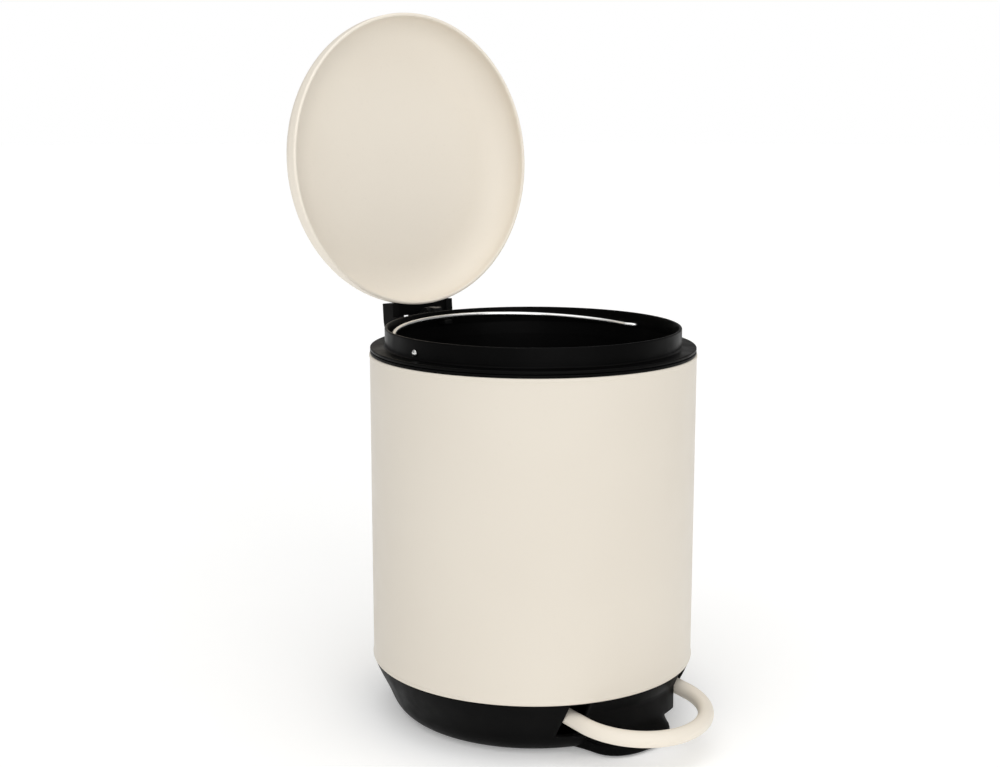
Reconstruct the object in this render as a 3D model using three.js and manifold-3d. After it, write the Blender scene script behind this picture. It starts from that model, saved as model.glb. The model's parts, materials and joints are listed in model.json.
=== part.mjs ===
// Round pedal bin of about five litres, standing on its rubber ring with the lid fully open.
// Millimetres, +Z up. The origin is the centre of the bin on the floor, and -Y is the front,
// where the pedal is. The lid, the pedal and the push rod are drawn as they stand with the
// pedal pressed; closing the lid turns it by LID_OPEN about the hinge pin.

import * as THREE from 'three';
import { mergeVertices } from 'three/addons/utils/BufferGeometryUtils.js';
import Module from 'manifold-3d';

const wasm = await Module();
wasm.setup();

// ---- driving dimensions ----

const SHELL_R = 102.5; // outer radius of the steel body
const SHELL_T = 1.0;
const SHELL_BOTTOM = 36.7;
const SHELL_TOP = 232.4;

const BASE_FOOT_R = 76; // flat underside of the base
const BASE_BOTTOM = 0.8; // the rubber ring stands this far below the base
const BASE_FLOOR = 3.4;
const SPIGOT_R = 100.9; // the base's upright collar inside the shell
const SPIGOT_TOP = 46;
const HOLLOW_R = 98.3; // inside of the collar
const APRON_R = 98.5; // upright front wall between the pedal slots
const TONGUE_Y = -84.6; // middle of the foot that stands out under the pedal
const TONGUE_REACH = 23.5; // from there to the foot's front
const TONGUE_HALF = 30; // half width of the foot
const TONGUE_SQUARE = 2.5; // exponent of the foot's outline, between an ellipse and a square
const TONGUE_EDGE = 2.5; // chamfer of its lower edge
const TONGUE_TOP = 8.5;
const TONGUE_FLARE = 13; // the front draws back to this as it rises into the apron
const TONGUE_FLARE_TOP = 19;
const BASE_RING_IN = 63; // rubber ring that the bin stands on
const BASE_RING_OUT = 70;
const BASE_RING_TOP = 1.9;
const PAD_HALF = 9; // rubber pad under the foot: half the distance between its round ends
const PAD_Y = TONGUE_Y - 12;
const PAD_TOP = 2.4;
const BASE_SCREW_Z = 42;
const BASE_SCREW_ANGLES = [50, 130]; // degrees from +X, both behind the middle

const RING_IN_R = 98.6; // black ring on the shell's upper edge
const RING_BAND_TOP = 234.3;
const RING_SKIRT_BOTTOM = 218;
const RING_SKIRT_R = 100.9;

const FLANGE_R = 102.3; // the bucket hangs by this flange
const FLANGE_BOTTOM = 234.6;
const FLANGE_TOP = 236.6;
const NECK_R = 93.1;
const NECK_TOP = 248.6;
const NECK_IN_R = 91.3;
const NECK_ROUND = 1.2; // chamfer of the neck's outer edge, which clears the closed lid
const BUCKET_BOTTOM = 52;
const BUCKET_FOOT_R = 79;
const BUCKET_T = 2;
const LEDGE_HALF = 3; // half width of the two ledges in the neck
const LEDGE_IN = 84.5;

const HINGE_Y = 111.3; // lid hinge pin
const HINGE_Z = 237.2;
const HINGE_PIN_R = 2;
const LID_OPEN = THREE.MathUtils.degToRad(93.9);
const LID_R = 97.2; // outer radius of the lid's rim
const LID_T = 1.3;
const LID_WALL = 5; // upright part of the lid's side
const LID_FILLET_R = 28.7; // radial reach of the round between side and top
const LID_FILLET_H = 19.5;
const LID_CROWN = 2; // doming of the top
const LID_STEPS = 3;

const CRANK_R = 12.4; // hinge pin to the cross pin that the push rod lifts
const CRANK_PIN_R = 1.25;
const CRANK_HALF = LID_OPEN / 2; // the crank swings this far each way about level
const NOTCH = 8.5; // half width of the openings that the crank passes
const NOTCH_BOTTOM = 214;

const LID_SCREW_X = 14;
const LID_SCREW_Z = 8.8; // above the lid's rim
const WEB_BACK = -7.5; // the bracket's web, from the hinge pin towards the lid
const WEB_FRONT = -16;
const WEB_BOTTOM = 2.3;
const WEB_TOP = 12.3;
const KNUCKLE_R = 6.5;
const CHEEK_R = 7;
const CHEEK_IN = 20.3;
const CHEEK_OUT = 25.5;
const LUG_IN = 3.2;
const LUG_OUT = 6.4;
const LUG_TIP_R = 4;

const HOUSING_HALF = 19.5;
const HOUSING_BOTTOM = 196;
const HOUSING_TOP = 231;
const HOUSING_SCREW_X = 13.5;
const HOUSING_SCREW_Z = 206;
const WELL = 8.2; // half width of the crank's room in the housing

const BAIL_Z = 240.5; // the bail's pivots in the bucket's neck
const BAIL_R = 87.5;
const BAIL_WIRE_R = 1.5;
const BAIL_TILT = THREE.MathUtils.degToRad(3);
const LEDGE_TOP = 243.3; // where the folded bail rests
const LEDGE_T = 3;

const AXLE_Y = -50; // pedal axle
const AXLE_Z = 29;
const AXLE_R = 2.5;
const PEDAL_TILT = THREE.MathUtils.degToRad(5.5); // front of the pressed pedal hangs this much
const PEDAL_HALF = 43.6; // middle of the bin to the middle of each pedal arm
const PEDAL_TUBE_R = 4.9;
const PEDAL_ARM = 46; // axle to the start of the pedal's bow
const PEDAL_BOW = 40.8;
const PEDAL_END = 7; // axle to the tube's ends
const SLOT_IN = 37.8; // pedal slots in the base, from the middle
const SLOT_OUT = 49.4;
const SLOT_BOTTOM = 12.5;
const SLOT_TOP = 36.1;
const LEVER_REACH = 134; // axle to the push rod
const LEVER_T = 2.5;
const LEVER_TOP = -5.2; // upper face of the lever, below the axle
const CLAMP_Y = -16; // middle of each clamp, from the axle
const CLAMP_EAR = 8.9; // clamp screws, from the tube's middle
const EAR_IN = 5; // the lever's ear for the push rod's hook
const EAR_OUT = 7.2;

const ROD_R = 1.5;
const ROD_TRAVEL = 2 * CRANK_R * Math.sin(CRANK_HALF); // straight down as the lid closes
const ROD_TOP = new THREE.Vector3(0, 98.4, 236.2);
const SCREW_R = 1.4;
const GAP = 0.3; // between pieces that rest on each other

const ROUND = 48; // facets of the large circles
const SMALL = 12; // facets of pins and bores
const deg = THREE.MathUtils.degToRad;
const Y_AXIS = new THREE.Vector3(0, 1, 0);

// ---- materials ----

function finish(color, roughness, metalness) {
  return new THREE.MeshStandardMaterial({ color, roughness, metalness });
}

const cream = () => finish(0xe0d8cb, 0.42, 0.0);
const black = () => finish(0x141416, 0.45, 0.0);
const rubber = () => finish(0x1c1c1d, 0.85, 0.0);
const steel = () => finish(0xc9cbcc, 0.3, 1.0);
const nylon = () => finish(0xdcdad2, 0.55, 0.0);

// ---- solids ----

// Turns a closed geometry into a solid that can be joined and cut.
function toSolid(geometry) {
  const bare = geometry.clone();
  bare.deleteAttribute('normal');
  bare.deleteAttribute('uv');
  const merged = mergeVertices(bare, 1e-4);
  const place = merged.attributes.position;
  const faces = [];
  let volume = 0;
  const [a, b, c] = [new THREE.Vector3(), new THREE.Vector3(), new THREE.Vector3()];
  for (let i = 0; i < merged.index.count; i += 3) {
    const face = [0, 1, 2].map((k) => merged.index.getX(i + k));
    if (new Set(face).size < 3) continue;
    faces.push(face);
    a.fromBufferAttribute(place, face[0]);
    b.fromBufferAttribute(place, face[1]);
    c.fromBufferAttribute(place, face[2]);
    volume += a.dot(b.cross(c));
  }
  if (volume < 0) faces.forEach((face) => face.reverse());
  return new wasm.Manifold(new wasm.Mesh({
    numProp: 3,
    vertProperties: new Float32Array(place.array),
    triVerts: new Uint32Array(faces.flat()),
  }));
}

function toGeometry(solid) {
  const mesh = solid.getMesh();
  const geometry = new THREE.BufferGeometry();
  geometry.setAttribute('position', new THREE.BufferAttribute(mesh.vertProperties, 3));
  geometry.setIndex(new THREE.BufferAttribute(mesh.triVerts, 1));
  geometry.computeVertexNormals();
  return geometry;
}

function join(...solids) {
  return solids.reduce((whole, solid) => whole.add(solid));
}

function cut(solid, ...tools) {
  return tools.reduce((left, tool) => left.subtract(tool), solid);
}

// A box between two corners.
function block([x0, x1], [y0, y1], [z0, z1]) {
  const geometry = new THREE.BoxGeometry(x1 - x0, y1 - y0, z1 - z0);
  geometry.translate((x0 + x1) / 2, (y0 + y1) / 2, (z0 + z1) / 2);
  return toSolid(geometry);
}

// A round bar between two points.
function bar(radius, start, end, sides = SMALL) {
  const [from, to] = [new THREE.Vector3(...start), new THREE.Vector3(...end)];
  const along = to.clone().sub(from);
  const geometry = new THREE.CylinderGeometry(radius, radius, along.length(), sides);
  geometry.applyQuaternion(new THREE.Quaternion().setFromUnitVectors(Y_AXIS, along.normalize()));
  geometry.translate(...from.add(to).multiplyScalar(0.5).toArray());
  return toSolid(geometry);
}

// An upright round block about the bin's axis.
function drum(radius, [z0, z1], sides = ROUND) {
  return spin([[0, z0], [radius, z0], [radius, z1], [0, z1]], sides);
}

// A profile of [radius, height] points turned about the Z axis.
function spin(profile, sides = ROUND) {
  const points = profile.map(([r, z]) => new THREE.Vector2(r, z));
  points.push(points[0].clone());
  return toSolid(new THREE.LatheGeometry(points, sides).rotateX(Math.PI / 2));
}

// An outline in (y, z), given as a THREE.Shape, drawn out along X.
function slab(shape, [x0, x1], curveSegments = 10) {
  const geometry = new THREE.ExtrudeGeometry(shape, {
    depth: x1 - x0, bevelEnabled: false, curveSegments,
  });
  const [x, y, z] = [0, 1, 2].map((k) => new THREE.Vector3().setComponent(k, 1));
  geometry.applyMatrix4(new THREE.Matrix4().makeBasis(y, z, x));
  geometry.translate(x0, 0, 0);
  return toSolid(geometry);
}

// An outline in (x, y) drawn out along Z.
function plate(shape, [z0, z1], curveSegments = 8) {
  const geometry = new THREE.ExtrudeGeometry(shape, {
    depth: z1 - z0, bevelEnabled: false, curveSegments,
  });
  return toSolid(geometry.translate(0, 0, z0));
}

// A wire or tube of radius r along a curve.
function wire(curve, r, sides, steps) {
  const section = new THREE.Shape().absarc(0, 0, r, 0, 2 * Math.PI);
  return toSolid(new THREE.ExtrudeGeometry(section, {
    steps, extrudePath: curve, bevelEnabled: false, curveSegments: sides,
  }));
}

// Points of a THREE.Path in (radius, height), for spin.
function pathPoints(path, divisions) {
  return path.getPoints(divisions).map((p) => [p.x, p.y]);
}

function polygon(points) {
  return new THREE.Shape(points.map(([u, v]) => new THREE.Vector2(u, v)));
}

// ---- assembly ----

const bin = new THREE.Group();

function add(name, solid, material, parent = bin) {
  const mesh = new THREE.Mesh(toGeometry(solid), material);
  mesh.name = name;
  parent.add(mesh);
}

const SIDES = [['left', -1], ['right', 1]];
const span = (side, a, b) => (side < 0 ? [-b, -a] : [a, b]);

// Room for the crank in the pieces at the top of the bin's back.
function crankNotch(front) {
  return block([-NOTCH, NOTCH], [front, 110], [NOTCH_BOTTOM, FLANGE_TOP + 1]);
}

// ---- body shell ----

function makeShell() {
  const wall = spin([
    [SHELL_R - SHELL_T, SHELL_BOTTOM], [SHELL_R, SHELL_BOTTOM],
    [SHELL_R, SHELL_TOP], [SHELL_R - SHELL_T, SHELL_TOP],
  ]);
  const screwHoles = SIDES.map(([, side]) => housingScrewHole(side, SCREW_R + GAP));
  return cut(wall, crankNotch(90), ...screwHoles, ...baseScrewHoles());
}

// ---- base ----

function baseOutline() {
  const path = new THREE.Path();
  path.moveTo(BASE_FOOT_R, BASE_BOTTOM);
  path.bezierCurveTo(84, BASE_BOTTOM, 88.5, 5.5, 91.4, 12.8);
  path.bezierCurveTo(94.6, 21, 99.2, 28, 102.3, SHELL_BOTTOM - GAP);
  return pathPoints(path, 4);
}

function baseHollow() {
  const path = new THREE.Path();
  path.moveTo(72, BASE_FLOOR);
  path.bezierCurveTo(82, BASE_FLOOR, 86, 7.5, 88.8, 14.5);
  path.bezierCurveTo(91.8, 22.5, 96, 28, HOLLOW_R, SHELL_BOTTOM - GAP);
  const rim = SPIGOT_TOP + 10;
  return spin([[0, BASE_FLOOR], ...pathPoints(path, 3), [HOLLOW_R, rim], [0, rim]]);
}

// The foot under the pedal is a superellipse in plan. Above TONGUE_TOP its front draws back
// into the apron while its sides rise straight.
function makeTongue() {
  const path = new THREE.Path();
  path.moveTo(TONGUE_REACH, TONGUE_TOP);
  path.quadraticCurveTo(TONGUE_FLARE + 1.5, TONGUE_TOP + 1, TONGUE_FLARE, TONGUE_FLARE_TOP);
  const profile = [
    [0, BASE_BOTTOM], [TONGUE_REACH - TONGUE_EDGE, BASE_BOTTOM],
    [TONGUE_REACH, BASE_BOTTOM + TONGUE_EDGE], ...pathPoints(path, 4), [0, TONGUE_FLARE_TOP],
    [0, BASE_BOTTOM],
  ];
  const points = profile.map(([r, z]) => new THREE.Vector2(r, z));
  const geometry = new THREE.LatheGeometry(points, 32).rotateX(Math.PI / 2);
  const place = geometry.attributes.position;
  for (let i = 0; i < place.count; i += 1) {
    const [x, y, z] = [place.getX(i), place.getY(i), place.getZ(i)];
    const reach = Math.hypot(x, y);
    const [across, along] = [Math.abs(x) / reach, Math.abs(y) / reach];
    const square = (across ** TONGUE_SQUARE + along ** TONGUE_SQUARE) ** (-1 / TONGUE_SQUARE);
    const half = z > TONGUE_TOP ? TONGUE_HALF : reach + TONGUE_HALF - TONGUE_REACH;
    if (reach > 1e-3) place.setXY(i, (x * square * half) / reach, y * square);
  }
  return toSolid(geometry.translate(0, TONGUE_Y, 0));
}

function makeBase() {
  const bowl = spin([
    [0, BASE_BOTTOM], ...baseOutline(),
    [SPIGOT_R, SHELL_BOTTOM - GAP], [SPIGOT_R, SPIGOT_TOP], [0, SPIGOT_TOP],
  ]);
  const front = block([-SLOT_IN, SLOT_IN], [-110, -60], [0, 60]);
  const apron = drum(APRON_R, [SLOT_BOTTOM, SHELL_BOTTOM - GAP]).intersect(front);
  const slots = SIDES.map(([, side]) => (
    block(span(side, SLOT_IN, SLOT_OUT), [-110, -62], [SLOT_BOTTOM, SLOT_TOP])
  ));
  const groove = spin([[BASE_RING_IN - GAP, 0], [BASE_RING_OUT + GAP, 0],
    [BASE_RING_OUT + GAP, BASE_RING_TOP + GAP], [BASE_RING_IN - GAP, BASE_RING_TOP + GAP]]);
  const padPocket = plate(padOutline(PAD_HALF + GAP), [0, PAD_TOP + GAP]);
  const whole = join(bowl, apron, makeTongue());
  return cut(whole, baseHollow(), ...slots, groove, padPocket, ...baseScrewHoles());
}

// The rubber pad under the foot has round ends and lies across it.
function padOutline(half) {
  const shape = new THREE.Shape();
  shape.absarc(half, PAD_Y, half / 2, -Math.PI / 2, Math.PI / 2);
  shape.absarc(-half, PAD_Y, half / 2, Math.PI / 2, 1.5 * Math.PI);
  return shape;
}

function makeBaseRing() {
  return spin([[BASE_RING_IN, 0], [BASE_RING_OUT, 0],
    [BASE_RING_OUT, BASE_RING_TOP], [BASE_RING_IN, BASE_RING_TOP]]);
}

// ---- radial screws that hold the shell to the base ----

function baseScrewBar(radius, angle, from, to) {
  const [c, s] = [Math.cos(deg(angle)), Math.sin(deg(angle))];
  return bar(radius, [from * c, from * s, BASE_SCREW_Z], [to * c, to * s, BASE_SCREW_Z]);
}

function baseScrewHoles() {
  return BASE_SCREW_ANGLES.map((angle) => baseScrewBar(SCREW_R + GAP, angle, 95, 110));
}

function makeBaseScrew(angle) {
  const shank = baseScrewBar(SCREW_R, angle, 96.5, SHELL_R + 0.8);
  const head = baseScrewBar(3, angle, SHELL_R + GAP, SHELL_R + 1.6);
  return join(shank, head);
}

// ---- ring on the shell's upper edge ----

function makeTopRing() {
  const ring = spin([
    [RING_IN_R, RING_SKIRT_BOTTOM], [RING_SKIRT_R, RING_SKIRT_BOTTOM],
    [RING_SKIRT_R, SHELL_TOP + GAP],
    [SHELL_R - GAP, SHELL_TOP + GAP], [SHELL_R - GAP, RING_BAND_TOP], [RING_IN_R, RING_BAND_TOP],
  ]);
  return cut(ring, crankNotch(90));
}

// ---- inner bucket ----

function makeBucket() {
  const foot = new THREE.Path();
  foot.moveTo(71, BUCKET_BOTTOM);
  foot.quadraticCurveTo(BUCKET_FOOT_R - 0.5, BUCKET_BOTTOM, BUCKET_FOOT_R, BUCKET_BOTTOM + 8);
  const footIn = new THREE.Path();
  footIn.moveTo(BUCKET_FOOT_R - BUCKET_T, BUCKET_BOTTOM + 9);
  footIn.quadraticCurveTo(BUCKET_FOOT_R - 2.6, BUCKET_BOTTOM + BUCKET_T, 70, BUCKET_BOTTOM + BUCKET_T);
  const body = spin([
    [0, BUCKET_BOTTOM], ...pathPoints(foot, 3),
    [92.4, FLANGE_BOTTOM], [FLANGE_R, FLANGE_BOTTOM], [FLANGE_R, FLANGE_TOP],
    [NECK_R, FLANGE_TOP], [NECK_R, NECK_TOP - NECK_ROUND], [NECK_R - NECK_ROUND, NECK_TOP],
    [NECK_IN_R, NECK_TOP],
    [90.4, FLANGE_BOTTOM], ...pathPoints(footIn, 3), [0, BUCKET_BOTTOM + BUCKET_T],
  ]);
  const ledgeZ = [LEDGE_TOP - LEDGE_T, LEDGE_TOP];
  const bore = drum(NECK_IN_R + 1, ledgeZ);
  const ledges = SIDES.map(([, side]) => (
    block([-LEDGE_HALF, LEDGE_HALF], span(side, LEDGE_IN, 95), ledgeZ).intersect(bore)
  ));
  const bailHoles = bar(BAIL_WIRE_R + 0.6, [-110, 0, BAIL_Z], [110, 0, BAIL_Z]);
  return cut(join(body, ...ledges), bailHoles, crankNotch(NECK_R + 0.6));
}

// ---- bail: a half-circle of wire with its ends turned out through the neck ----

function makeBail() {
  const points = [[NECK_R + 1.1, 0], [92.4, 0], [90, 0.3]];
  for (let angle = 2.5; angle <= 90; angle += 6.25) {
    points.push([BAIL_R * Math.cos(deg(angle)), BAIL_R * Math.sin(deg(angle))]);
  }
  const half = points.map(([x, y]) => new THREE.Vector3(x, y, 0));
  const other = half.slice(0, -1).reverse().map((p) => new THREE.Vector3(-p.x, p.y, 0));
  const curve = new THREE.CatmullRomCurve3([...half, ...other], false, 'centripetal');
  return wire(curve, BAIL_WIRE_R, 4, 52);
}

// ---- lid, drawn closed with the hinge pin at the group's origin ----

function lidSide(radius, fillet) {
  const path = new THREE.Path();
  path.moveTo(radius, 0);
  path.lineTo(radius, LID_WALL);
  path.absellipse(radius - LID_FILLET_R, LID_WALL, LID_FILLET_R, fillet, 0, Math.PI / 2, false);
  return path;
}

function lidTop(radius, side) {
  const [, crownStart] = side[side.length - 1];
  return [...side, [radius * 0.35, crownStart + LID_CROWN * 0.75], [0, crownStart + LID_CROWN]];
}

function makeLidBlank(grow) {
  const side = pathPoints(lidSide(LID_R + grow, LID_FILLET_H + grow), LID_STEPS);
  return spin([[0, 0], ...lidTop(LID_R, side)]).translate([0, -HINGE_Y, 0]);
}

function makeLid() {
  const outer = pathPoints(lidSide(LID_R, LID_FILLET_H), LID_STEPS);
  const inner = pathPoints(lidSide(LID_R - LID_T, LID_FILLET_H - LID_T), LID_STEPS);
  const skin = spin([...lidTop(LID_R, outer), ...lidTop(LID_R - LID_T, inner).reverse()]);
  const holes = SIDES.map(([, side]) => lidScrewBar(side, SCREW_R + GAP, -20, -5));
  return cut(skin.translate([0, -HINGE_Y, 0]), ...holes);
}

function lidScrewBar(side, radius, from, to) {
  const x = side * LID_SCREW_X;
  return bar(radius, [x, from, LID_SCREW_Z], [x, to, LID_SCREW_Z]);
}

function makeLidScrew(side) {
  const shank = lidScrewBar(side, SCREW_R, -15.4, WEB_BACK + 0.8);
  const head = lidScrewBar(side, 2.8, WEB_BACK + GAP, WEB_BACK + 1.6);
  return join(shank, head);
}

function cheekOutline() {
  const shape = new THREE.Shape();
  shape.moveTo(WEB_FRONT, 1);
  shape.lineTo(-CHEEK_R, 1);
  shape.absarc(0, 0, CHEEK_R, Math.PI, 2.2 * Math.PI);
  shape.quadraticCurveTo(4, WEB_TOP, -5, WEB_TOP);
  shape.lineTo(WEB_FRONT, WEB_TOP);
  return shape;
}

// The lug of the crank: two round ends joined by straight sides.
function lugOutline() {
  const [dy, dz] = [-CRANK_R * Math.cos(CRANK_HALF), -CRANK_R * Math.sin(CRANK_HALF)];
  const side = Math.atan2(dz, dy) + Math.PI / 2;
  const shape = new THREE.Shape();
  shape.absarc(0, 0, KNUCKLE_R, side, side + Math.PI);
  shape.absarc(dy, dz, LUG_TIP_R, side + Math.PI, side + 2 * Math.PI);
  return shape;
}

function crankPinBar(radius, halfLength) {
  const [y, z] = [-CRANK_R * Math.cos(CRANK_HALF), -CRANK_R * Math.sin(CRANK_HALF)];
  return bar(radius, [-halfLength, y, z], [halfLength, y, z]);
}

function makeLidBracket() {
  const web = block([-CHEEK_OUT, CHEEK_OUT], [WEB_FRONT, WEB_BACK], [WEB_BOTTOM, WEB_TOP]);
  const cheeks = SIDES.map(([, side]) => slab(cheekOutline(), span(side, CHEEK_IN, CHEEK_OUT)));
  const lugs = SIDES.map(([, side]) => slab(lugOutline(), span(side, LUG_IN, LUG_OUT)));
  const necks = SIDES.map(([, side]) => (
    slab(polygon([[-10, 1.5], [-2, 4], [-2, 8.5], [-10, 11]]), span(side, LUG_IN, LUG_OUT))
  ));
  const holes = SIDES.map(([, side]) => lidScrewBar(side, SCREW_R + GAP, -20, 0));
  return cut(
    join(web, ...cheeks, ...lugs, ...necks),
    makeLidBlank(0.4),
    bar(HINGE_PIN_R + 0.2, [-30, 0, 0], [30, 0, 0]),
    crankPinBar(CRANK_PIN_R + 0.2, 10),
    ...holes,
  );
}

// ---- hinge housing on the back of the shell, with a plate inside it ----

function housingScrewHole(side, radius, from = 92, to = 107.5) {
  const x = side * HOUSING_SCREW_X;
  return bar(radius, [x, from, HOUSING_SCREW_Z], [x, to, HOUSING_SCREW_Z]);
}

function makeHousing() {
  const shape = new THREE.Shape();
  shape.moveTo(96, HOUSING_BOTTOM);
  shape.lineTo(103.5, HOUSING_BOTTOM);
  shape.quadraticCurveTo(113.5, HOUSING_BOTTOM + 2, 114, HOUSING_BOTTOM + 20);
  shape.lineTo(HINGE_Y + KNUCKLE_R * Math.cos(deg(-25)), HINGE_Z + KNUCKLE_R * Math.sin(deg(-25)));
  shape.absarc(HINGE_Y, HINGE_Z, KNUCKLE_R, deg(-25), Math.PI);
  shape.lineTo(HINGE_Y - KNUCKLE_R, HOUSING_TOP);
  shape.lineTo(96, HOUSING_TOP);
  const body = slab(shape, [-HOUSING_HALF, HOUSING_HALF]);
  const bodySeat = drum(SHELL_R + 0.4, [HOUSING_BOTTOM - 1, HOUSING_TOP + 1]);
  const flangeSeat = drum(FLANGE_R + 0.5, [HOUSING_TOP - 2, FLANGE_TOP + 3]);
  const crankWell = block([-WELL, WELL], [90, 110.5], [NOTCH_BOTTOM - 2, 260]);
  const crankTop = block([-WELL, WELL], [90, 130], [228.5, 260]);
  const pinHole = bar(HINGE_PIN_R + 0.2, [-30, HINGE_Y, HINGE_Z], [30, HINGE_Y, HINGE_Z]);
  const screwHoles = SIDES.map(([, side]) => housingScrewHole(side, SCREW_R + GAP));
  return cut(body, bodySeat, flangeSeat, crankWell, crankTop, pinHole, ...screwHoles);
}

function makeHousingPlate() {
  const ring = spin([[99.2, 199], [101.1, 199], [101.1, 213], [99.2, 213]]);
  const window = block([-18.5, 18.5], [80, 120], [190, 220]);
  const rodRoom = block([-3.5, 3.5], [90, 110], [203, 220]);
  const holes = SIDES.map(([, side]) => housingScrewHole(side, SCREW_R + GAP));
  return cut(ring.intersect(window), rodRoom, ...holes);
}

function makeHousingScrew(side) {
  const shank = housingScrewHole(side, SCREW_R, 96.8, 107);
  const head = housingScrewHole(side, 2.8, 95.6, 97.3);
  return join(shank, head);
}

// ---- push rod with its yoke ----

const ROD_FOOT = leverPoint(LEVER_REACH, 0);

// A point of the lever's own plane, in the bin's frame with the pedal pressed.
function leverPoint(y, z) {
  const [c, s] = [Math.cos(PEDAL_TILT), Math.sin(PEDAL_TILT)];
  return new THREE.Vector3(0, AXLE_Y + y * c - z * s, AXLE_Z + y * s + z * c);
}

function makePushRod() {
  const shank = bar(ROD_R, ROD_FOOT.toArray(), ROD_TOP.toArray(), 12);
  const elbow = new THREE.SphereGeometry(ROD_R * 1.02, 12, 8).translate(...ROD_FOOT.toArray());
  const hook = bar(ROD_R, ROD_FOOT.toArray(), [12, ROD_FOOT.y, ROD_FOOT.z], 12);
  return join(shank, toSolid(elbow), hook);
}

// A C-shaped head, open to the back, with a socket for the rod under it.
function makeYoke() {
  const pinZ = HINGE_Z + CRANK_R * Math.sin(CRANK_HALF);
  const [spine, mouth, tip] = [95.7, 97.3, 104.2];
  const [slot, jaw] = [2.1, 3.9];
  const head = slab(polygon([
    [spine, pinZ - jaw], [tip, pinZ - jaw], [tip, pinZ - slot], [mouth, pinZ - slot],
    [mouth, pinZ + slot], [tip, pinZ + slot], [tip, pinZ + jaw], [spine, pinZ + jaw],
  ]), [-2.4, 2.4]);
  const along = ROD_TOP.clone().sub(ROD_FOOT).normalize();
  const at = (d) => ROD_TOP.clone().addScaledVector(along, d).toArray();
  const socket = bar(2.7, at(-4), at(7));
  return cut(join(head, socket), bar(ROD_R + GAP, at(-10), at(GAP)));
}

// Guide of the rod, standing on the inside of the base's collar. The rod leans a little and
// moves straight up and down, so the bore is widened along Y.
function makeRodGuide() {
  const post = block([-8, 8], [93, 110], [38, 62]);
  const arm = block([-8, 8], [81, 110], [54, 62]);
  const seat = drum(97.9, [30, 70]);
  const along = ROD_TOP.clone().sub(ROD_FOOT).normalize();
  const slope = along.y / along.z;
  const bores = [0, 0.5, 1].map((part) => {
    const shift = new THREE.Vector3(0, part * ROD_TRAVEL * slope, 0);
    const at = (d) => ROD_FOOT.clone().addScaledVector(along, d).add(shift).toArray();
    return bar(ROD_R + 0.5, at(-30), at(60));
  });
  return cut(join(post, arm).intersect(seat), ...bores);
}

// ---- pedal and lever, drawn level with the axle at the group's origin ----

function makePedal() {
  const points = [[PEDAL_HALF, -PEDAL_END], [PEDAL_HALF, -26]];
  for (let angle = 0; angle <= 90; angle += 11.25) {
    const [c, s] = [Math.cos(deg(angle)), Math.sin(deg(angle))];
    points.push([PEDAL_HALF * c, -PEDAL_ARM - PEDAL_BOW * s]);
  }
  const half = points.map(([x, y]) => new THREE.Vector3(x, y, 0));
  const other = half.slice(0, -1).reverse().map((p) => new THREE.Vector3(-p.x, p.y, 0));
  const curve = new THREE.CatmullRomCurve3([...half, ...other], false, 'centripetal');
  return wire(curve, PEDAL_TUBE_R, 6, 36);
}

function leverOutline() {
  const shape = polygon([
    [-54.8, -21.5], [-32.5, -21.5], [-30, -8], [30, -8], [32.5, -21.5], [54.8, -21.5],
    [51, 8], [9, 112], [9, LEVER_REACH + 2.5], [-9, LEVER_REACH + 2.5], [-9, 112], [-51, 8],
  ]);
  shape.holes.push(polygon([[-36, 12], [-5, 98], [5, 98], [36, 12]]));
  return shape;
}

function clampScrewSpots(side) {
  return [-1, 1].map((ear) => side * PEDAL_HALF + ear * CLAMP_EAR);
}

function makeLever() {
  const sheet = plate(leverOutline(), [LEVER_TOP - LEVER_T, LEVER_TOP]);
  const barrel = bar(5.5, [-30, 0, 0], [30, 0, 0]);
  const ear = slab(polygon([
    [LEVER_REACH - 8, LEVER_TOP - 1], [LEVER_REACH + 2.5, LEVER_TOP - 1],
    [LEVER_REACH + 4.5, 0], [LEVER_REACH + 4, 4.6], [LEVER_REACH - 5, 4.6],
  ]), [EAR_IN, EAR_OUT]);
  const hookHole = bar(ROD_R + 1.1, [0, LEVER_REACH, 0], [20, LEVER_REACH, 0]);
  const spots = SIDES.flatMap(([, side]) => clampScrewSpots(side));
  const holes = spots.map((x) => bar(SCREW_R + GAP, [x, CLAMP_Y, -12], [x, CLAMP_Y, 0]));
  return cut(join(sheet, barrel, ear), bar(3.3, [-40, 0, 0], [40, 0, 0]), hookHole, ...holes);
}

// A saddle bent over the tube, with an ear on each side.
function makeClamp(side) {
  const x = side * PEDAL_HALF;
  const [inside, outside] = [PEDAL_TUBE_R + GAP, PEDAL_TUBE_R + 1.5];
  const y = [CLAMP_Y - 5, CLAMP_Y + 5];
  const floor = LEVER_TOP + GAP;
  const arch = bar(outside, [x, y[0], 0], [x, y[1], 0], 20);
  const hood = join(
    arch.intersect(block([x - 10, x + 10], y, [floor, 10])),
    block([x - outside, x + outside], y, [floor, 0]),
    block([x - 11.2, x + 11.2], y, [floor, floor + 1.8]),
  );
  const tubeRoom = join(
    bar(inside, [x, y[0] - 1, 0], [x, y[1] + 1, 0], 20),
    block([x - inside, x + inside], [y[0] - 1, y[1] + 1], [floor - 1, 0]),
  );
  const holes = clampScrewSpots(side).map((at) => (
    bar(SCREW_R + GAP, [at, CLAMP_Y, -12], [at, CLAMP_Y, 0])
  ));
  return cut(hood, tubeRoom, ...holes);
}

function makeClampScrew(x) {
  const top = LEVER_TOP + GAP + 1.8;
  const shank = bar(SCREW_R, [x, CLAMP_Y, LEVER_TOP - LEVER_T - 1.2], [x, CLAMP_Y, top + 1]);
  const head = bar(2.1, [x, CLAMP_Y, top + GAP], [x, CLAMP_Y, top + 1.9]);
  return join(shank, head);
}

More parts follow.
